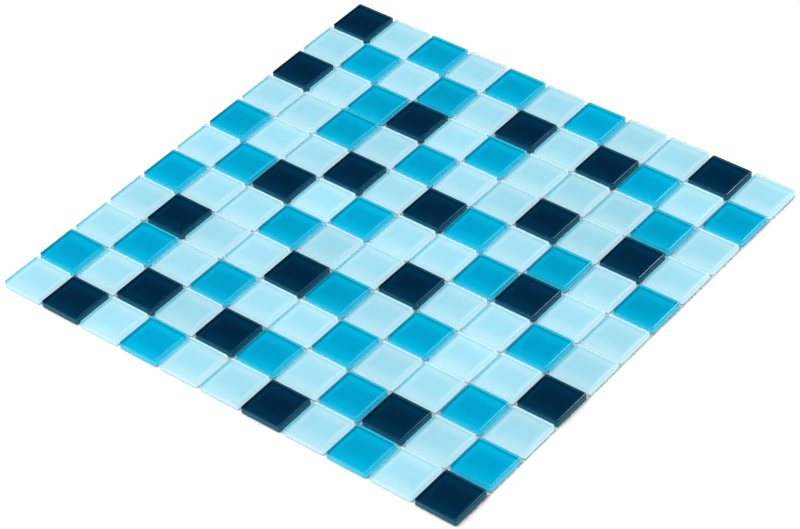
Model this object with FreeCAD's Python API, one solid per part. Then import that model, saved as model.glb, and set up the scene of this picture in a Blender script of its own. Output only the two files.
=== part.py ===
import FreeCAD, Part
import math
import os
import random

# Glass mosaic sheet: square tiles in three blues, laid to a chart on a net that holds them by their undersides.
# The origin is the middle of the sheet where it lies, +Z is towards the face, and all sizes are in millimetres.

# Tile
tile_side = 25.0
tile_thickness = 4.0
tile_corner_radius = 1.1
corner_flats = 3
tile_arris = 0.45

# Laying: the joint is left open for the grout, and no tile lies quite true
joint_width = 2.27
laying_play = 0.15
laying_twist_degrees = 0.25

# Net: the weft threads lie across the warp threads, and the tiles are glued to the weft
net_cell = 5.0
net_setback = 1.5
thread_width = 0.9
thread_flat = 0.5
thread_thickness = 0.2

# The laying chart, seen from the face: N is navy, T is turquoise and P is pale.
# Its bottom line is the front row, and each line runs towards +X.
laying_chart = [
    "NPTPTPTPPNP",
    "PTPTPNPNTPT",
    "NPTNPTPPPTP",
    "PPTPTPPNPNP",
    "TPPNPNTPTPT",
    "PTNPTPPTNPP",
    "TPPTPPNPPTP",
    "PNPPNTPTPPN",
    "PTPTPPTPPTP",
    "TPNPNTPTNPT",
    "PNPTPPNPTPN",
]
colour_names = {"N": "navy", "T": "turquoise", "P": "pale"}

tiles_per_row = len(laying_chart[0])
rows = len(laying_chart)
pitch = tile_side + joint_width
sheet_width = tiles_per_row * tile_side + (tiles_per_row - 1) * joint_width
sheet_depth = rows * tile_side + (rows - 1) * joint_width
bedding_height = 2 * thread_thickness


def tile_outline():
    """The tile seen from its face: a square whose corner arcs are worked as a few flats each."""
    reach = tile_side / 2 - tile_corner_radius
    points = []
    for quarter in range(4):
        middle = FreeCAD.Rotation(FreeCAD.Vector(0, 0, 1), 90 * quarter).multVec(FreeCAD.Vector(reach, reach, 0))
        for step in range(corner_flats + 1):
            angle = math.radians(90 * quarter + 90 * step / corner_flats)
            spoke = FreeCAD.Vector(math.cos(angle), math.sin(angle), 0)
            points.append(middle + spoke * tile_corner_radius)
    return Part.makePolygon(points + points[:1])


def glass_tile():
    """A flat block centred on its underside, with an arris ground round its face."""
    block = Part.Face(tile_outline()).extrude(FreeCAD.Vector(0, 0, tile_thickness))
    face_rim = [edge for edge in block.Edges if edge.BoundBox.ZMin > tile_thickness / 2]
    return block.makeChamfer(tile_arris, face_rim)


def laid_tile(tile, column, row, hand):
    """The tile at its place in the grid, off it by what the hand that laid it allows."""
    twist = hand.uniform(-laying_twist_degrees, laying_twist_degrees)
    across = (column - (tiles_per_row - 1) / 2) * pitch + hand.uniform(-laying_play, laying_play)
    along = (row - (rows - 1) / 2) * pitch + hand.uniform(-laying_play, laying_play)
    laid = tile.copy()
    laid.Placement = FreeCAD.Placement(
        FreeCAD.Vector(across, along, bedding_height),
        FreeCAD.Rotation(FreeCAD.Vector(0, 0, 1), twist),
    )
    return laid


def tile_rows():
    """Each row's tiles of each colour, as one compound of separate tiles under the row's and colour's name."""
    tile = glass_tile()
    hand = random.Random(1)
    nodes = {}
    for row, line in enumerate(reversed(laying_chart)):
        for column, letter in enumerate(line):
            name = f"row_{row + 1:02d}_{colour_names[letter]}_tiles"
            nodes.setdefault(name, []).append(laid_tile(tile, column, row, hand))
    return {name: Part.Compound(tiles) for name, tiles in nodes.items()}


def net_thread(length):
    """A thread along X, pressed flat: a low six-sided section, widest at half its thickness."""
    section = [
        (-thread_width / 2, thread_thickness / 2),
        (-thread_flat / 2, 0),
        (thread_flat / 2, 0),
        (thread_width / 2, thread_thickness / 2),
        (thread_flat / 2, thread_thickness),
        (-thread_flat / 2, thread_thickness),
    ]
    corners = [FreeCAD.Vector(-length / 2, y, z) for y, z in section]
    outline = Part.makePolygon(corners + corners[:1])
    return Part.Face(outline).extrude(FreeCAD.Vector(length, 0, 0))


def thread_places(width):
    """The middle thread and its fellows to each side, a cell apart, that the net's width holds."""
    each_side = int((width / 2 - net_setback - thread_width / 2) // net_cell)
    return [number * net_cell for number in range(-each_side, each_side + 1)]


def warp_threads():
    """The threads along X, which lie lowest."""
    thread = net_thread(sheet_width - 2 * net_setback)
    return Part.Compound([thread.translated(FreeCAD.Vector(0, y, 0)) for y in thread_places(sheet_depth)])


def weft_threads():
    """The threads along Y, which lie on the warp."""
    thread = net_thread(sheet_depth - 2 * net_setback)
    thread.rotate(FreeCAD.Vector(0, 0, 0), FreeCAD.Vector(0, 0, 1), 90)
    places = thread_places(sheet_width)
    return Part.Compound([thread.translated(FreeCAD.Vector(x, 0, thread_thickness)) for x in places])


nodes = tile_rows()
nodes["backing_net_warp"] = warp_threads()
nodes["backing_net_weft"] = weft_threads()

os.makedirs("parts", exist_ok=True)
for name, shape in nodes.items():
    shape.exportStep(f"parts/{name}.step")
    print(f"{name}: {len(shape.Solids)} solids, {shape.Volume / 1000:.2f} cm3")
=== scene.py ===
import math
import time

import bpy
import numpy as np
from mathutils import Matrix, Vector


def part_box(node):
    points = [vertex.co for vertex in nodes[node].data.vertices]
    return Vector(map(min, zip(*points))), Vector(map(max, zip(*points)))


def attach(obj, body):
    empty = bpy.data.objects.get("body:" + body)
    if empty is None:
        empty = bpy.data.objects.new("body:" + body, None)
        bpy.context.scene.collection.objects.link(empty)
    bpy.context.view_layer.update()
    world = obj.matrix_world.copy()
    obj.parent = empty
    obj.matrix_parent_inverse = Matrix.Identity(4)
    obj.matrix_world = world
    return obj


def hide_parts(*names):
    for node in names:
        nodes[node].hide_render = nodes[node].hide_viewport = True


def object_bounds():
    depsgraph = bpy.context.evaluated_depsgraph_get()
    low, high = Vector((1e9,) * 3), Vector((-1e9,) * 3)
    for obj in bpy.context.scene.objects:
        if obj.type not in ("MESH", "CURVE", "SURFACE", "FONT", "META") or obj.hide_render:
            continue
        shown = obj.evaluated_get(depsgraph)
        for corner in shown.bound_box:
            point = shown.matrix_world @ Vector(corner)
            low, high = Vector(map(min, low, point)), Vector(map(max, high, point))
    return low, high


# A sheet of glass mosaic on its net, lying face up on a white floor, metres throughout

startTime = time.time()
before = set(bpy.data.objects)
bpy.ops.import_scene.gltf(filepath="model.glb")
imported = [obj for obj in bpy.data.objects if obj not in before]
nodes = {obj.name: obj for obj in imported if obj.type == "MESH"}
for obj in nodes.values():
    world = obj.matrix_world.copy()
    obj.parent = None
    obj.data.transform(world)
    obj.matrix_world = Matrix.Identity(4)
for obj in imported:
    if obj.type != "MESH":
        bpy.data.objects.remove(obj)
cadBox = [list(corner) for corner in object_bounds()]
tileNodes = sorted(name for name in nodes if name.endswith("_tiles"))
millimetre = 0.001


def report(stage):
    print(f"[{time.time() - startTime:5.1f} s] {stage}")


# Camera: from above one corner, through a long lens
cameraSetup = {
    "lensMm": 128.65,
    "azimuth": 40.69,      # degrees, 0 looks along +Y
    "elevation": 41.06,    # degrees above the floor
    "roll": -3.77,
    "distance": 1.488,
    "aim": (0.0135, -0.0196, 0.0044),
}


def makeCamera(setup):
    turn = (Matrix.Rotation(math.radians(setup["azimuth"]), 4, "Z")
            @ Matrix.Rotation(math.radians(90 - setup["elevation"]), 4, "X")
            @ Matrix.Rotation(math.radians(setup["roll"]), 4, "Z"))
    back = turn.to_3x3() @ Vector((0, 0, 1))
    data = bpy.data.cameras.new("camera")
    data.lens = setup["lensMm"]
    data.clip_start = 0.05
    data.clip_end = 20
    camera = bpy.data.objects.new("camera", data)
    camera.matrix_world = Matrix.Translation(Vector(setup["aim"]) + back * setup["distance"]) @ turn
    bpy.context.scene.collection.objects.link(camera)
    bpy.context.scene.camera = camera
    return camera


# Mesh helpers

def meshObject(name, points, faces, materials, faceMaterials=None, sharpAngle=30):
    mesh = bpy.data.meshes.new(name)
    mesh.from_pydata(points.tolist(), [], faces)
    for material in materials:
        mesh.materials.append(material)
    if faceMaterials is not None:
        mesh.polygons.foreach_set("material_index", np.asarray(faceMaterials, np.int32))
    mesh.shade_smooth()
    mesh.set_sharp_from_angle(angle=math.radians(sharpAngle))
    mesh.validate()
    mesh.update()
    piece = bpy.data.objects.new(name, mesh)
    bpy.context.scene.collection.objects.link(piece)
    return piece


def islands(mesh):
    # each vertex takes the lowest number in its triangle, over and over, until every island has one number
    co = np.zeros(len(mesh.vertices) * 3)
    mesh.vertices.foreach_get("co", co)
    co = co.reshape(-1, 3)
    places, same = np.unique(np.round(co, 6), axis=0, return_inverse=True)
    same = same.ravel()
    corners = np.zeros(len(mesh.loops), np.int64)
    mesh.loops.foreach_get("vertex_index", corners)
    triangles = same[corners].reshape(-1, 3)
    number = np.arange(len(places))
    while True:
        lowest = number[triangles].min(axis=1)
        spread = number.copy()
        np.minimum.at(spread, triangles, lowest[:, None])
        if np.array_equal(spread, number):
            break
        number = spread
    return [places[number == label] for label in np.unique(number)]


def tubeFaces(count, stations, sides):
    # quads round and along each tube of the grid (tube, station, side), and a flat cap at both ends
    tube = np.arange(count)[:, None, None] * stations * sides
    station = np.arange(stations - 1)[None, :, None] * sides
    side = np.arange(sides)[None, None, :]
    after = (side + 1) % sides
    first = tube + station
    quads = np.stack([first + side, first + after, first + sides + after, first + sides + side], axis=-1)
    starts = (np.arange(count)[:, None] * stations * sides + np.arange(sides)[None, ::-1]).tolist()
    ends = (np.arange(count)[:, None] * stations * sides + (stations - 1) * sides + np.arange(sides)[None, :]).tolist()
    return quads.reshape(-1, 4).tolist() + starts + ends


# Glass tiles: a rounded square outline carried up a profile of underside, wall, ground arris and face

glassTile = {
    "underArris": 0.12 * millimetre,
    "lift": 0.03 * millimetre,       # the glue's thickness between glass and net
    "facet": (0.25 * millimetre, 0.09 * millimetre),     # reach and drop of the narrow facet inside the arris
    "cornerSteps": 5,
    "toneSpread": 0.035,
    "seed": 5,
}


def tilePlaces(node):
    # a tile's centre is the mean of its corners, and its twist a quarter of the angle of the sum of z^4 over them;
    # its corner radius is what is left of half a side past the ends of its straight edges
    found = []
    for corners in islands(node.data):
        centre = corners.mean(axis=0)
        flat = (corners[:, 0] - centre[0]) + 1j * (corners[:, 1] - centre[1])
        twist = np.angle(-np.sum(flat ** 4)) / 4
        squared = flat * np.exp(-1j * twist)
        half = (squared.real.max() - squared.real.min()) / 2
        onEdge = np.abs(squared.real) > half - 0.02 * millimetre
        onTop = corners[:, 2] > corners[:, 2].max() - 0.02 * millimetre
        found.append({
            "x": centre[0],
            "y": centre[1],
            "twist": twist,
            "half": half,
            "radius": half - np.abs(squared.imag[onEdge]).max(),
            "arris": half - squared.real[onTop].max(),
            "bottom": corners[:, 2].min(),
            "top": corners[:, 2].max(),
        })
    return found


def roundedSquare(half, radius, steps):
    # four quarter circles of the radius about the inner corners, joined by straight sides; z = corner + r*e^(i*a)
    turn = np.linspace(0, math.pi / 2, steps + 1)
    quarter = (half - radius) * (1 + 1j) + radius * np.exp(1j * turn)
    return np.concatenate([quarter * 1j ** side for side in range(4)])


def tileSurface(place, shape):
    # rings of the outline, each drawn in by the profile's inset, at the profile's height
    bottom, top = place["bottom"] + shape["lift"], place["top"]
    half, radius, arris = place["half"], place["radius"], place["arris"]
    under, (reach, drop) = shape["underArris"], shape["facet"]
    profile = [(under, bottom), (0, bottom + under), (0, top - arris), (arris - drop, top - drop),
               (arris - drop + reach, top)]
    plan = np.stack([roundedSquare(half - inset, radius - inset * 0.8, shape["cornerSteps"]) for inset, height in profile])
    flat = plan * np.exp(1j * place["twist"]) + place["x"] + 1j * place["y"]
    height = np.broadcast_to(np.array([height for inset, height in profile])[:, None], flat.shape)
    return np.stack([flat.real, flat.imag, height], axis=-1), plan / (2 * half)


def tileFaces(rings, around, first):
    # quads between neighbouring rings, then one flat face each for the underside and the top
    quads = np.array(tubeFaces(1, rings, around)[:-2]) + first
    underside = (first + np.arange(around)[::-1]).tolist()
    face = (first + (rings - 1) * around + np.arange(around)).tolist()
    kinds = [3] * around + [1] * around + [2] * around + [4] * around + [3, 0]
    return quads.tolist() + [underside, face], kinds


def makeTileRow(name, node, materials, shape, chance):
    points, plans, tones, faces, kinds, first = [], [], [], [], [], 0
    for place in tilePlaces(node):
        surface, plan = tileSurface(place, shape)
        rings, around = surface.shape[:2]
        newFaces, newKinds = tileFaces(rings, around, first)
        points.append(surface.reshape(-1, 3))
        plans.append(plan.ravel())
        tones += [chance.normal(1, shape["toneSpread"])] * rings * around
        faces += newFaces
        kinds += newKinds
        first += rings * around
    row = meshObject(name, np.concatenate(points), faces, materials, kinds, sharpAngle=15)
    corners = np.zeros(len(row.data.loops), np.int64)
    row.data.loops.foreach_get("vertex_index", corners)
    plan = np.concatenate(plans)[corners]
    layer = row.data.uv_layers.new(name="plan")
    layer.uv.foreach_set("vector", np.stack([plan.real + 0.5, plan.imag + 0.5], axis=-1).ravel())
    tone = row.data.attributes.new("tone", "FLOAT", "POINT")
    tone.data.foreach_set("value", tones)
    return row


# Backing net: pairs of thin warp yarns that cross between the flat weft yarns and hold one each, under and over it

netYarn = {
    "cell": 5.0 * millimetre,
    "depth": 0.4 * millimetre,       # from the floor to the glue
    "warpApart": 0.27 * millimetre,
    "warpWidth": 0.42 * millimetre,
    "warpThickness": 0.1 * millimetre,
    "weftWidth": 1.0 * millimetre,
    "weftThickness": 0.18 * millimetre,
    "drift": 0.16 * millimetre,      # how far a yarn strays from its line
    "borderOut": -0.05 * millimetre,  # the weft yarn at the +X border lies this far outside the tiles
    "frayed": 0.7 * millimetre,
    "longestEnd": 2.8 * millimetre,
    "seed": 8,
}


def straying(along, count, yarn, chance):
    # each yarn's offset: two slow waves of random phase, (sin(a*x + p) + sin(b*x + q)) / 2 times the drift
    phases = chance.uniform(0, 2 * math.pi, (2, count, 1))
    lengths = chance.uniform(0.04, 0.13, (2, count, 1))
    return yarn["drift"] * np.sin(along * 2 * math.pi / lengths + phases).mean(axis=0)


def yarnSurface(line, sideways, width, thickness, sides):
    # a flat ring of points about every station of every yarn: width/2*cos(a) sideways and thickness/2*sin(a) upwards
    turn = np.arange(sides) * 2 * math.pi / sides
    across = np.array(sideways) * (width / 2 * np.cos(turn))[:, None]
    upwards = np.array((0, 0, 1)) * (thickness / 2 * np.sin(turn))[:, None]
    return line[:, :, None, :] + across + upwards


def makeWarp(box, yarn, material, chance):
    (west, south, _), (east, north, _) = box
    rows = int(north // yarn["cell"])
    across = np.arange(-rows, rows + 1) * yarn["cell"]
    cells = int(east // yarn["cell"])
    phase = np.arange(-2 * cells, 2 * cells + 1) / 2
    along = np.tile(phase * yarn["cell"], (len(across), 1))
    stray = straying(along, len(across), yarn, chance)
    half, depth = yarn["warpThickness"] / 2, yarn["depth"]
    lines = []
    for side, atPick, between in ((1, half, 3 * half), (-1, depth - half, half)):
        swing = side * yarn["warpApart"] * np.cos(math.pi * phase)
        height = atPick + (between - atPick) * np.sin(math.pi * phase) ** 2
        line = np.stack([along, across[:, None] + stray + swing, np.broadcast_to(height, along.shape)], axis=-1)
        lines.append(line)
    lines = np.concatenate(lines)
    frayed = chance.uniform(-yarn["frayed"], yarn["frayed"], (2, len(lines)))
    loose = (chance.random(len(lines)) < 0.04) * chance.uniform(0.3, 1, len(lines))
    lines[:, 0, 0] = west + frayed[0]
    lines[:, -1, 0] = east + 1.5 * millimetre + frayed[1] + loose * yarn["longestEnd"]
    surface = yarnSurface(lines, (0, 1, 0), yarn["warpWidth"], yarn["warpThickness"], 4)
    faces = tubeFaces(*surface.shape[:3])
    return meshObject("net_warp", surface.reshape(-1, 3), flipped(faces), [material], sharpAngle=80)


def makeWeft(box, yarn, material, chance):
    (west, south, _), (east, north, _) = box
    columns = int(east // yarn["cell"])
    across = np.append(np.arange(-columns, columns + 1) * yarn["cell"], cadBox[1][0] + yarn["borderOut"])
    cells = int(north // yarn["cell"])
    along = np.tile(np.arange(-cells, cells + 1) * yarn["cell"], (len(across), 1))
    stray = straying(along, len(across), yarn, chance)
    line = np.stack([across[:, None] + stray, along, np.full(along.shape, yarn["depth"] / 2)], axis=-1)
    frayed = chance.uniform(-yarn["frayed"], yarn["frayed"], (2, len(line)))
    line[:, 0, 1] = south + frayed[0]
    line[:, -1, 1] = north + frayed[1]
    surface = yarnSurface(line, (1, 0, 0), yarn["weftWidth"], yarn["weftThickness"], 6)
    return meshObject("net_weft", surface.reshape(-1, 3), tubeFaces(*surface.shape[:3]), [material], sharpAngle=80)


def flipped(faces):
    return [face[::-1] for face in faces]


# Glue: small dabs that have squeezed up through the net into the joints, most of them where four tiles meet

glueDab = {
    "width": (0.9 * millimetre, 2.0 * millimetre),
    "height": (0.3 * millimetre, 1.3 * millimetre),
    "perJoint": 0.9,
    "rings": 4,
    "around": 8,
    "seed": 21,
}


def makeGlue(places, yarn, dab, material):
    # a dome at every spot: rings at height h*sin(a) and reach r*cos(a), the reach waved by chance round the dome
    chance = np.random.default_rng(dab["seed"])
    spots = jointSpots(places, dab, chance)
    count = len(spots)
    wide = chance.uniform(*dab["width"], count) / 2
    high = chance.uniform(*dab["height"], count)
    rise = np.linspace(0, 0.47 * math.pi, dab["rings"])
    turn = np.arange(dab["around"]) * 2 * math.pi / dab["around"]
    wave = 1 + 0.22 * np.sin(2 * turn + chance.uniform(0, 6.3, (count, 1))) + chance.uniform(-0.12, 0.12, (count, len(turn)))
    reach = wide[:, None, None] * np.cos(rise)[None, :, None] * wave[:, None, :]
    x = spots[:, 0, None, None] + reach * np.cos(turn)
    y = spots[:, 1, None, None] + reach * np.sin(turn)
    z = np.broadcast_to(yarn["depth"] * 0.7 + high[:, None, None] * np.sin(rise)[None, :, None], x.shape)
    surface = np.stack([x, y, z], axis=-1)
    return meshObject("glue_dabs", surface.reshape(-1, 3), tubeFaces(*surface.shape[:3]), [material], sharpAngle=60)


def jointSpots(places, dab, chance):
    # a joint's middle lies halfway between two neighbours, and a crossing halfway between four
    centres = np.array([(place["x"], place["y"]) for place in places])
    perSide = int(round(math.sqrt(len(places))))
    step = (centres.max(axis=0) - centres.min(axis=0)) / (perSide - 1)
    low = centres.min(axis=0)
    grid = np.arange(perSide - 1) + 0.5
    crossings = np.stack(np.meshgrid(grid, grid), axis=-1).reshape(-1, 2)
    count = int(len(crossings) * 2 * dab["perJoint"])
    along = np.stack([chance.choice(grid, count), chance.uniform(-0.3, perSide - 0.7, count)], axis=-1)
    turned = chance.random(count) < 0.5
    along[turned] = along[turned, ::-1]
    spots = low + np.concatenate([crossings, along]) * step
    return spots + chance.normal(0, 0.35 * millimetre, spots.shape)


# Materials

def newMaterial(name):
    material = bpy.data.materials.new(name)
    material.use_nodes = True
    return material, material.node_tree, material.node_tree.nodes["Principled BSDF"]


def addNode(tree, kind, inputs=(), **settings):
    # a node with its settings, its inputs fed by links or plain values
    node = tree.nodes.new(kind)
    for setting, value in settings.items():
        setattr(node, setting, value)
    for socket, value in dict(inputs).items():
        if isinstance(value, bpy.types.NodeSocket):
            tree.links.new(value, node.inputs[socket])
        else:
            node.inputs[socket].default_value = value
    return node


def newGroup(name, inputs, outputs):
    group = bpy.data.node_groups.new(name, "ShaderNodeTree")
    for socket, kind, value in inputs:
        group.interface.new_socket(socket, in_out="INPUT", socket_type=kind).default_value = value
    for socket, kind in outputs:
        group.interface.new_socket(socket, in_out="OUTPUT", socket_type=kind)
    return group, group.nodes.new("NodeGroupInput"), group.nodes.new("NodeGroupOutput")


def edgeDistanceGroup(side, margins):
    # how far a spot lies from its tile's nearest edge, by the plan: the least of start + scale*side*u and the like with
    # 1 - u, v and 1 - v, each with its own start and scale, and stretched here and there by a slow cloud; the coat's
    # painted shade at the foot and painted light in the margin follow it
    group, given, result = newGroup("edgeDistance", [
        ("Unevenness", "NodeSocketFloat", 0.25),
        ("FarStart", "NodeSocketFloat", 0.8),
    ], [("Distance", "NodeSocketFloat")])
    plan = addNode(group, "ShaderNodeUVMap", uv_map="plan")
    parts = addNode(group, "ShaderNodeSeparateXYZ", {0: plan.outputs[0]})
    nearest = []
    for axis, sides in enumerate(margins):
        fromHigh = addNode(group, "ShaderNodeMath", {0: 1.0, 1: parts.outputs[axis]}, operation="SUBTRACT")
        starts = [given.outputs["FarStart"] if start is None else start for start, scale in sides]
        away = [addNode(group, "ShaderNodeMath", {0: share, 1: side * scale, 2: start}, operation="MULTIPLY_ADD")
                for share, start, (_, scale) in zip((parts.outputs[axis], fromHigh.outputs[0]), starts, sides)]
        nearest.append(addNode(group, "ShaderNodeMath", {0: away[0].outputs[0], 1: away[1].outputs[0]},
                               operation="MINIMUM"))
    length = addNode(group, "ShaderNodeMath", {0: nearest[0].outputs[0], 1: nearest[1].outputs[0]},
                     operation="MINIMUM")
    place = addNode(group, "ShaderNodeTexCoord")
    cloud = addNode(group, "ShaderNodeTexNoise", {"Vector": place.outputs["Object"], "Scale": 90, "Detail": 1})
    swing = addNode(group, "ShaderNodeMath", {0: cloud.outputs[0], 1: 0.5}, operation="SUBTRACT")
    stretch = addNode(group, "ShaderNodeMath", {0: swing.outputs[0], 1: given.outputs["Unevenness"], 2: 1.0},
                      operation="MULTIPLY_ADD")
    uneven = addNode(group, "ShaderNodeMath", {0: length.outputs[0], 1: stretch.outputs[0]}, operation="MULTIPLY")
    group.links.new(uneven.outputs[0], result.inputs["Distance"])
    return group


def toneGroup():
    # the colour times the tile's own tone
    group, given, result = newGroup("tileTone", [("Color", "NodeSocketColor", (1, 1, 1, 1))],
                                    [("Color", "NodeSocketColor")])
    tone = addNode(group, "ShaderNodeAttribute", attribute_name="tone")
    scaled = addNode(group, "ShaderNodeVectorMath", {0: given.outputs[0], "Scale": tone.outputs["Fac"]},
                     operation="SCALE")
    group.links.new(scaled.outputs[0], result.inputs[0])
    return group


def groundEdgeGroup():
    # a ground edge: fine grain with a few larger chips, as a height
    group, given, result = newGroup("groundEdge", [
        ("Grain", "NodeSocketFloat", 0.5),
        ("Chips", "NodeSocketFloat", 1.0),
    ], [("Height", "NodeSocketFloat"), ("Share", "NodeSocketFloat")])
    place = addNode(group, "ShaderNodeTexCoord")
    grain = addNode(group, "ShaderNodeTexNoise", {"Vector": place.outputs["Object"], "Scale": 2600, "Detail": 2})
    chip = addNode(group, "ShaderNodeTexNoise", {"Vector": place.outputs["Object"], "Scale": 620, "Detail": 1})
    bare = addNode(group, "ShaderNodeMapRange", {"Value": chip.outputs[0], "From Min": 0.6, "From Max": 0.72})
    low = addNode(group, "ShaderNodeMath", {0: grain.outputs[0], 1: given.outputs["Grain"]}, operation="MULTIPLY")
    high = addNode(group, "ShaderNodeMath", {0: bare.outputs[0], 1: given.outputs["Chips"], 2: low.outputs[0]},
                   operation="MULTIPLY_ADD")
    group.links.new(high.outputs[0], result.inputs["Height"])
    group.links.new(bare.outputs[0], result.inputs["Share"])
    return group


def placeGroup(tree, group, **inputs):
    node = tree.nodes.new("ShaderNodeGroup")
    node.node_tree = group
    for socket, value in inputs.items():
        if isinstance(value, bpy.types.NodeSocket):
            tree.links.new(value, node.inputs[socket])
        else:
            node.inputs[socket].default_value = value
    return node


glassLook = {
    "ior": 1.5,
    "faceRoughness": 0.0,
}

# Ground surfaces: the veil is their matt share, outside for what looks at them (times the colour's own veil) and inside
# for what looks through; then the painted light that an inner side facing the window gives off at its top and its
# foot, and how much of the colour's painted glow the outer side gives off
groundFinish = {
    "wall": {"roughness": 0.05, "grainHeight": 0.002 * millimetre, "outerVeil": 1.0, "innerVeil": 0.42,
             "innerPaintedGlow": (0.1, 1.8), "outerPaintedGlowShare": 1.0},
    "arris": {"roughness": 0.05, "grainHeight": 0, "outerVeil": 0.05, "innerVeil": 0.05,
              "innerPaintedGlow": (0.0, 0.0), "outerPaintedGlowShare": 0.0},
}

# The facet inside the arris, with a painted highlight: how matt and pale it is where it looks away from the window's
# side of the room and towards it
rimFinish = {"roughness": 0.26, "dimVeil": 0.0, "litVeil": 0.15, "towards": (0.95, -0.31, 0.0), "litFrom": (0.07, 0.30)}

# The coat's middle, its margin of painted light and its foot of painted shade, the walls from outside at their top and
# foot, their inner sides away from the window (painted shade) and towards it (painted glow, also the colour of the
# walls' painted light), and the face's rim where the window lights it (a painted highlight); then the shares of the
# walls' veil, of the painted light they give off, of soft light that goes into them, and of the rim's painted
# highlight, and the margin's start at +Y
tileColours = {
    "pale": {
        "middle": (0.38, 0.77, 0.915),
        "marginPaintedLight": (0.49, 0.84, 0.96),
        "footPaintedShade": (0.23, 0.66, 0.82),
        "wall": (0.24, 0.41, 0.45),
        "wallFoot": (0.34, 0.44, 0.46),
        "shade": (0.07, 0.60, 0.82),
        "paintedGlow": (0.60, 0.72, 0.82),
        "edge": (0.95, 1.0, 1.0),
        "veil": 0.55,
        "outerPaintedGlow": 0.70,
        "entering": 0.7,
        "paintedRimHighlight": 3.0,
        "farStart": 1.15,
    },
    "turquoise": {
        "middle": (0.0002, 0.366, 0.622),
        "marginPaintedLight": (0.0004, 0.460, 0.73),
        "footPaintedShade": (0.0002, 0.220, 0.40),
        "wall": (0.005, 0.70, 0.92),
        "wallFoot": (0.30, 0.80, 0.92),
        "shade": (0.012, 0.46, 0.52),
        "paintedGlow": (0.018, 0.70, 0.86),
        "edge": (0.50, 0.90, 1.0),
        "veil": 0.5,
        "outerPaintedGlow": 0.0,
        "entering": 0.45,
        "paintedRimHighlight": 1.8,
        "farStart": 0.78,
    },
    "navy": {
        "middle": (0.0001, 0.0204, 0.0535),
        "marginPaintedLight": (0.0003, 0.0325, 0.078),
        "footPaintedShade": (0.0001, 0.0130, 0.033),
        "wall": (0.010, 0.13, 0.20),
        "wallFoot": (0.035, 0.16, 0.21),
        "shade": (0.003, 0.045, 0.05),
        "paintedGlow": (0.006, 0.12, 0.20),
        "edge": (0.10, 0.70, 1.0),
        "veil": 0.75,
        "outerPaintedGlow": 0.0,
        "entering": 0.15,
        "paintedRimHighlight": 0.7,
        "farStart": 0.78,
    },
}

# Millimetres in from the edge for the coat's painted edge light and shade: the foot's painted shade starts, the foot
# ends, the margin's painted light is brightest, the middle's colour is reached
paintedMarginStops = (0.0, 0.4, 2.1, 5.0)

# The margin's start in millimetres and its scale at -X and +X, and at -Y and +Y: a start leaves out so much of the
# foot's painted shade, and a small scale makes a wide band of painted light, as where light comes in from the front
paintedMarginSides = (((0.55, 1.0), (0.1, 1.0)), ((1.1, 0.37), (None, 0.5)))


def lightPasses(tree, shader, entering):
    # shadow rays and soft light that leave the glass go straight out, so the coat is lit through it,
    # and a part of those that enter goes straight in, so that the joints are lit through the tiles
    path = addNode(tree, "ShaderNodeLightPath")
    inside = addNode(tree, "ShaderNodeNewGeometry")
    either = addNode(tree, "ShaderNodeMath", {0: path.outputs["Is Shadow Ray"], 1: path.outputs["Is Diffuse Ray"]},
                     operation="MAXIMUM")
    share = addNode(tree, "ShaderNodeMapRange", {"Value": inside.outputs["Backfacing"], "To Min": entering})
    leaving = addNode(tree, "ShaderNodeMath", {0: either.outputs[0], 1: share.outputs[0]}, operation="MULTIPLY")
    passing = addNode(tree, "ShaderNodeBsdfTransparent")
    blend = addNode(tree, "ShaderNodeMixShader", {0: leaving.outputs[0], 1: shader, 2: passing.outputs[0]})
    tree.links.new(blend.outputs[0], tree.nodes["Material Output"].inputs["Surface"])


def clearGlassMaterial(name, look):
    material, tree, shader = newMaterial(name)
    shader.inputs["Base Color"].default_value = (1, 1, 1, 1)
    shader.inputs["Roughness"].default_value = look["faceRoughness"]
    shader.inputs["IOR"].default_value = look["ior"]
    shader.inputs["Transmission Weight"].default_value = 1
    lightPasses(tree, shader.outputs[0], 0.5)
    return material


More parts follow.
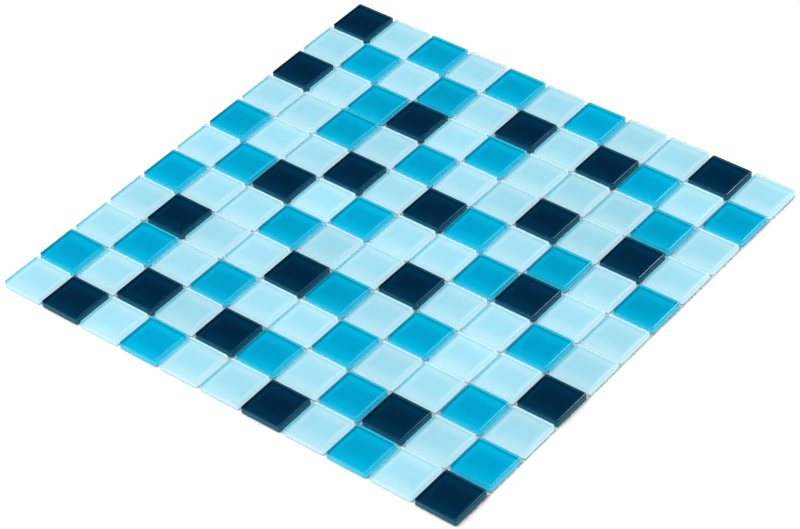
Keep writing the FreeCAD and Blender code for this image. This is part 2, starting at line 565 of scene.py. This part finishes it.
def groundGlassMaterial(name, colours, finish, look, window, heights):
    # ground glass: part clear and part a matt veil. From outside the veil goes from the wall's colour to a lighter
    # foot, mottled by the chips; from inside it is painted shade where it faces away from the window and a painted glow
    # where it faces it. The veil also gives off painted light in the glow's colour, inside towards the window and more
    # so towards the foot, and outside by the colour's painted glow
    material, tree, glass = newMaterial(name)
    glass.inputs["Base Color"].default_value = (1, 1, 1, 1)
    glass.inputs["Roughness"].default_value = finish["roughness"]
    glass.inputs["IOR"].default_value = look["ior"]
    glass.inputs["Transmission Weight"].default_value = 1
    edge = placeGroup(tree, groundEdge, Grain=0.5, Chips=1.0)
    if finish["grainHeight"]:
        bump = addNode(tree, "ShaderNodeBump", {"Height": edge.outputs["Height"], "Distance": finish["grainHeight"]})
        tree.links.new(bump.outputs[0], glass.inputs["Normal"])
    place = addNode(tree, "ShaderNodeTexCoord")
    parts = addNode(tree, "ShaderNodeSeparateXYZ", {0: place.outputs["Object"]})
    deep = addNode(tree, "ShaderNodeMapRange", {"Value": parts.outputs[2], "From Min": heights[1],
                                                "From Max": heights[0]})
    mottled = addNode(tree, "ShaderNodeMapRange", {"Value": edge.outputs["Share"], "To Min": 0.7, "To Max": 1.8})
    low = addNode(tree, "ShaderNodeMapRange", {"Value": deep.outputs[0], "From Min": 0.15})
    footShare = addNode(tree, "ShaderNodeMath", {0: low.outputs[0], 1: mottled.outputs[0]}, operation="MULTIPLY",
                        use_clamp=True)
    outer = addNode(tree, "ShaderNodeMix", {0: footShare.outputs[0], 6: (*colours["wall"], 1),
                                            7: (*colours["wallFoot"], 1)}, data_type="RGBA")
    inside = addNode(tree, "ShaderNodeNewGeometry")
    # painted shade and painted glow: the inner side's colour turns by how it faces the window
    facing = addNode(tree, "ShaderNodeVectorMath", {0: inside.outputs["Normal"], 1: window}, operation="DOT_PRODUCT")
    lit = addNode(tree, "ShaderNodeMapRange", {"Value": facing.outputs["Value"], "From Min": 0.2, "From Max": -0.2})
    inner = addNode(tree, "ShaderNodeMix", {0: lit.outputs[0], 6: (*colours["shade"], 1), 7: (*colours["paintedGlow"], 1)},
                    data_type="RGBA")
    colour = addNode(tree, "ShaderNodeMix", {0: inside.outputs["Backfacing"], 6: outer.outputs[2],
                                             7: inner.outputs[2]}, data_type="RGBA")
    # painted light: the veil gives off light in the glow's colour, inside where it faces the window, rising towards the
    # foot, and outside by the colour's painted glow
    atTop, atFoot = finish["innerPaintedGlow"]
    rising = addNode(tree, "ShaderNodeMapRange", {"Value": deep.outputs[0], "From Min": 0.4, "To Min": atTop,
                                                  "To Max": atFoot})
    innerPaintedGlow = addNode(tree, "ShaderNodeMath", {0: lit.outputs[0], 1: rising.outputs[0]}, operation="MULTIPLY")
    given = addNode(tree, "ShaderNodeMix", {0: inside.outputs["Backfacing"], 2: finish["outerPaintedGlowShare"] * colours["outerPaintedGlow"],
                                            3: innerPaintedGlow.outputs[0]})
    veil = addNode(tree, "ShaderNodeBsdfPrincipled", {
        "Base Color": colour.outputs[2],
        "Roughness": 0.6,
        "Specular IOR Level": 0,
        "Emission Color": (*colours["paintedGlow"], 1),
        "Emission Strength": given.outputs[0],
    })
    share = addNode(tree, "ShaderNodeMapRange", {
        "Value": inside.outputs["Backfacing"],
        "To Min": finish["outerVeil"] * colours["veil"],
        "To Max": finish["innerVeil"],
    })
    body = addNode(tree, "ShaderNodeMixShader", {0: share.outputs[0], 1: glass.outputs[0], 2: veil.outputs[0]})
    lightPasses(tree, body.outputs[0], colours["entering"])
    return material


def rimMaterial(name, colours, finish, look):
    # the rim of the face: glass with a thin painted highlight, a matt pale line whose share grows where the facet faces
    # the window's side
    material, tree, glass = newMaterial(name)
    glass.inputs["Base Color"].default_value = (1, 1, 1, 1)
    glass.inputs["Roughness"].default_value = finish["roughness"]
    glass.inputs["IOR"].default_value = look["ior"]
    glass.inputs["Transmission Weight"].default_value = 1
    veil = addNode(tree, "ShaderNodeBsdfPrincipled", {"Base Color": (*colours["edge"], 1), "Roughness": 0.6,
                                                      "Specular IOR Level": 0})
    around = addNode(tree, "ShaderNodeNewGeometry")
    facing = addNode(tree, "ShaderNodeVectorMath", {0: around.outputs["Normal"], 1: finish["towards"]},
                     operation="DOT_PRODUCT")
    low, high = finish["litFrom"]
    share = addNode(tree, "ShaderNodeMapRange", {"Value": facing.outputs["Value"], "From Min": low, "From Max": high,
                                                 "To Min": finish["dimVeil"],
                                                 "To Max": finish["litVeil"] * colours["paintedRimHighlight"]})
    body = addNode(tree, "ShaderNodeMixShader", {0: share.outputs[0], 1: glass.outputs[0], 2: veil.outputs[0]})
    lightPasses(tree, body.outputs[0], colours["entering"])
    return material


def coatMaterial(name, colours):
    material, tree, shader = newMaterial(name)
    distance = placeGroup(tree, edgeDistance, FarStart=colours["farStart"])
    # the coat's colour by the distance from the edge: painted shade at the foot, painted light in the margin, then the
    # middle
    reach = addNode(tree, "ShaderNodeMapRange", {"Value": distance.outputs[0], "From Max": paintedMarginStops[-1]})
    ramp = addNode(tree, "ShaderNodeValToRGB", {0: reach.outputs[0]})
    ramp.color_ramp.interpolation = "EASE"
    stops = ramp.color_ramp.elements
    stops[0].position, stops[1].position = 0, 1
    stops.new(paintedMarginStops[1] / paintedMarginStops[-1])
    stops.new(paintedMarginStops[2] / paintedMarginStops[-1])
    for stop, part in zip(stops, ("footPaintedShade", "footPaintedShade", "marginPaintedLight", "middle")):
        stop.color = (*colours[part], 1)
    toned = placeGroup(tree, tileTone, Color=ramp.outputs[0])
    tree.links.new(toned.outputs[0], shader.inputs["Base Color"])
    shader.inputs["Roughness"].default_value = 0.7
    shader.inputs["Specular IOR Level"].default_value = 0
    return material


def yarnMaterial():
    material, tree, shader = newMaterial("glassYarn")
    place = addNode(tree, "ShaderNodeTexCoord")
    cloud = addNode(tree, "ShaderNodeTexNoise", {"Vector": place.outputs["Object"], "Scale": 600, "Detail": 2})
    colour = addNode(tree, "ShaderNodeValToRGB", {0: cloud.outputs[0]})
    colour.color_ramp.elements[0].position = 0.35
    colour.color_ramp.elements[0].color = (0.42, 0.38, 0.34, 1)
    colour.color_ramp.elements[1].position = 0.65
    colour.color_ramp.elements[1].color = (0.88, 0.86, 0.82, 1)
    tree.links.new(colour.outputs[0], shader.inputs["Base Color"])
    shader.inputs["Roughness"].default_value = 0.6
    return material


def glueMaterial():
    material, tree, shader = newMaterial("glue")
    place = addNode(tree, "ShaderNodeTexCoord")
    cloud = addNode(tree, "ShaderNodeTexNoise", {"Vector": place.outputs["Object"], "Scale": 160, "Detail": 2})
    colour = addNode(tree, "ShaderNodeValToRGB", {0: cloud.outputs[0]})
    colour.color_ramp.elements[0].position = 0.42
    colour.color_ramp.elements[0].color = (0.74, 0.68, 0.63, 1)
    colour.color_ramp.elements[1].position = 0.58
    colour.color_ramp.elements[1].color = (0.95, 0.94, 0.92, 1)
    tree.links.new(colour.outputs[0], shader.inputs["Base Color"])
    shader.inputs["Roughness"].default_value = 0.35
    return material


# Floor and light

studio = {
    "floorColour": 0.92,
    "floorSeen": (1.13, 1.10, 1.08),
    # painted shade on the floor under the sheet, and a painted contact shadow just past its +X and +Y borders
    "floorPaintedShade": 0.65,              # as seen between the tiles, where the sheet keeps the light off
    "floorSide": 6.0,
    "skyLevel": 0.90,
    "mirroredLow": 0.012,             # what shiny things mirror: dark low down and bright overhead
    "mirroredHigh": 1.5,
    "mirroredFrom": (60, 80),         # degrees above the floor
    "keyPlace": (-0.46, -0.52, 1.1),
    "keySide": 0.9,
    "keyPower": 3.8,
    "windowPlace": (0.36, 1.13, 1.35),
    "windowSize": (0.3, 0.3),
    "windowPower": 8.5,
}


def makeFloor(setup):
    half = setup["floorSide"] / 2
    corners = np.array([(-half, -half, 0), (half, -half, 0), (half, half, 0), (-half, half, 0)])
    material, tree, shader = newMaterial("whiteFloor")
    shader.inputs["Roughness"].default_value = 1
    shader.inputs["Specular IOR Level"].default_value = 0
    path = addNode(tree, "ShaderNodeLightPath")
    either = addNode(tree, "ShaderNodeMath", {0: path.outputs["Is Camera Ray"], 1: path.outputs["Is Glossy Ray"]},
                     operation="MAXIMUM")
    anyRay = addNode(tree, "ShaderNodeMath", {0: either.outputs[0], 1: path.outputs["Is Transmission Ray"]},
                     operation="MAXIMUM")
    # painted shade: the floor under the sheet is darker for the camera, the mask shifted half a millimetre to +X and +Y
    # so that it reaches just past those borders as a painted contact shadow
    place = addNode(tree, "ShaderNodeTexCoord")
    shifted = addNode(tree, "ShaderNodeVectorMath", {0: place.outputs["Object"],
                                                     1: (0.5 * millimetre, 0.5 * millimetre, 0)}, operation="SUBTRACT")
    size = addNode(tree, "ShaderNodeVectorMath", {0: shifted.outputs[0]}, operation="ABSOLUTE")
    parts = addNode(tree, "ShaderNodeSeparateXYZ", {0: size.outputs[0]})
    outward = addNode(tree, "ShaderNodeMath", {0: parts.outputs[0], 1: parts.outputs[1]}, operation="MAXIMUM")
    outside = addNode(tree, "ShaderNodeMapRange", {"Value": outward.outputs[0],
                                                   "From Min": cadBox[1][0] - 1.5 * millimetre,
                                                   "From Max": cadBox[1][0] + 0.5 * millimetre})
    seen = addNode(tree, "ShaderNodeMix", {0: outside.outputs[0], 6: (setup["floorPaintedShade"],) * 3 + (1,),
                                           7: (*setup["floorSeen"], 1)}, data_type="RGBA", clamp_result=False)
    level = addNode(tree, "ShaderNodeMix", {0: anyRay.outputs[0], 6: (setup["floorColour"],) * 3 + (1,),
                                            7: seen.outputs[2]}, data_type="RGBA", clamp_result=False)
    tree.links.new(level.outputs[2], shader.inputs["Base Color"])
    floor = meshObject("floor", corners, [(0, 1, 2, 3)], [material])
    return floor


def makeSky(setup):
    # even white light all round, but shiny things mirror a room that is dark low down and bright overhead:
    # its brightness climbs by a smooth step of the sine of the height
    world = bpy.data.worlds.new("studio")
    bpy.context.scene.world = world
    world.use_nodes = True
    tree = world.node_tree
    background = tree.nodes["Background"]
    coordinate = addNode(tree, "ShaderNodeTexCoord")
    parts = addNode(tree, "ShaderNodeSeparateXYZ", {0: coordinate.outputs["Generated"]})
    low, high = (math.sin(math.radians(angle)) for angle in setup["mirroredFrom"])
    room = addNode(tree, "ShaderNodeMapRange", {
        "Value": parts.outputs[2],
        "From Min": low,
        "From Max": high,
        "To Min": setup["mirroredLow"],
        "To Max": setup["mirroredHigh"],
    }, interpolation_type="SMOOTHSTEP")
    path = addNode(tree, "ShaderNodeLightPath")
    shiny = addNode(tree, "ShaderNodeMath", {0: path.outputs["Is Glossy Ray"], 1: path.outputs["Is Transmission Ray"]},
                    operation="MAXIMUM")
    level = addNode(tree, "ShaderNodeMix", {0: shiny.outputs[0], 2: setup["skyLevel"], 3: room.outputs[0]})
    tree.links.new(level.outputs[0], background.inputs["Strength"])
    background.inputs["Color"].default_value = (1, 1, 1, 1)


def makeLamp(name, place, target, size, power, glinting):
    # a lamp that gives light to matt things only, or glints in ground glass only
    data = bpy.data.lights.new(name, "AREA")
    data.shape = "RECTANGLE"
    data.size, data.size_y = size
    data.energy = power
    lamp = bpy.data.objects.new(name, data)
    towards = Vector(target) - Vector(place)
    lamp.matrix_world = Matrix.Translation(Vector(place)) @ towards.to_track_quat("-Z", "Y").to_matrix().to_4x4()
    lamp.visible_camera = lamp.visible_transmission = False
    lamp.visible_glossy = glinting
    lamp.visible_diffuse = not glinting
    bpy.context.scene.collection.objects.link(lamp)
    return lamp


makeCamera(cameraSetup)
makeFloor(studio)
makeSky(studio)
makeLamp("key", studio["keyPlace"], (0, 0, 0), (studio["keySide"],) * 2, studio["keyPower"], False)
makeLamp("window", studio["windowPlace"], (0, 0, 0), studio["windowSize"], studio["windowPower"], True)
report("camera, floor and light")

edgeDistance = edgeDistanceGroup(25.0, paintedMarginSides)
tileTone = toneGroup()
groundEdge = groundEdgeGroup()
clearGlass = clearGlassMaterial("clearGlass", glassLook)
windowSide = Vector(studio["windowPlace"]).normalized()
tileHeights = (netYarn["depth"], cadBox[1][2])
tileMaterials = {}
for colour, parts in tileColours.items():
    wall = groundGlassMaterial(f"{colour}Wall", parts, groundFinish["wall"], glassLook, windowSide, tileHeights)
    arris = groundGlassMaterial(f"{colour}Arris", parts, groundFinish["arris"], glassLook, windowSide, tileHeights)
    rim = rimMaterial(f"{colour}Rim", parts, rimFinish, glassLook)
    tileMaterials[colour] = [clearGlass, wall, arris, coatMaterial(f"{colour}Coat", parts), rim]

tileChance = np.random.default_rng(glassTile["seed"])
for nodeName in tileNodes:
    colour = nodeName.split("_")[2]
    row = makeTileRow(nodeName.replace("_tiles", "_glass"), nodes[nodeName], tileMaterials[colour], glassTile, tileChance)
    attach(row, "root")
    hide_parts(nodeName)
report("glass tiles")

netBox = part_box("backing_net_warp")
netChance = np.random.default_rng(netYarn["seed"])
yarnLook = yarnMaterial()
for net, nodeName in ((makeWarp(netBox, netYarn, yarnLook, netChance), "backing_net_warp"),
                      (makeWeft(netBox, netYarn, yarnLook, netChance), "backing_net_weft")):
    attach(net, "root")
    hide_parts(nodeName)
report("backing net")

allPlaces = [place for nodeName in tileNodes for place in tilePlaces(nodes[nodeName])]
glue = makeGlue(allPlaces, netYarn, glueDab, glueMaterial())
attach(glue, "root")
report("glue")

bpy.context.scene.view_settings.view_transform = "Standard"
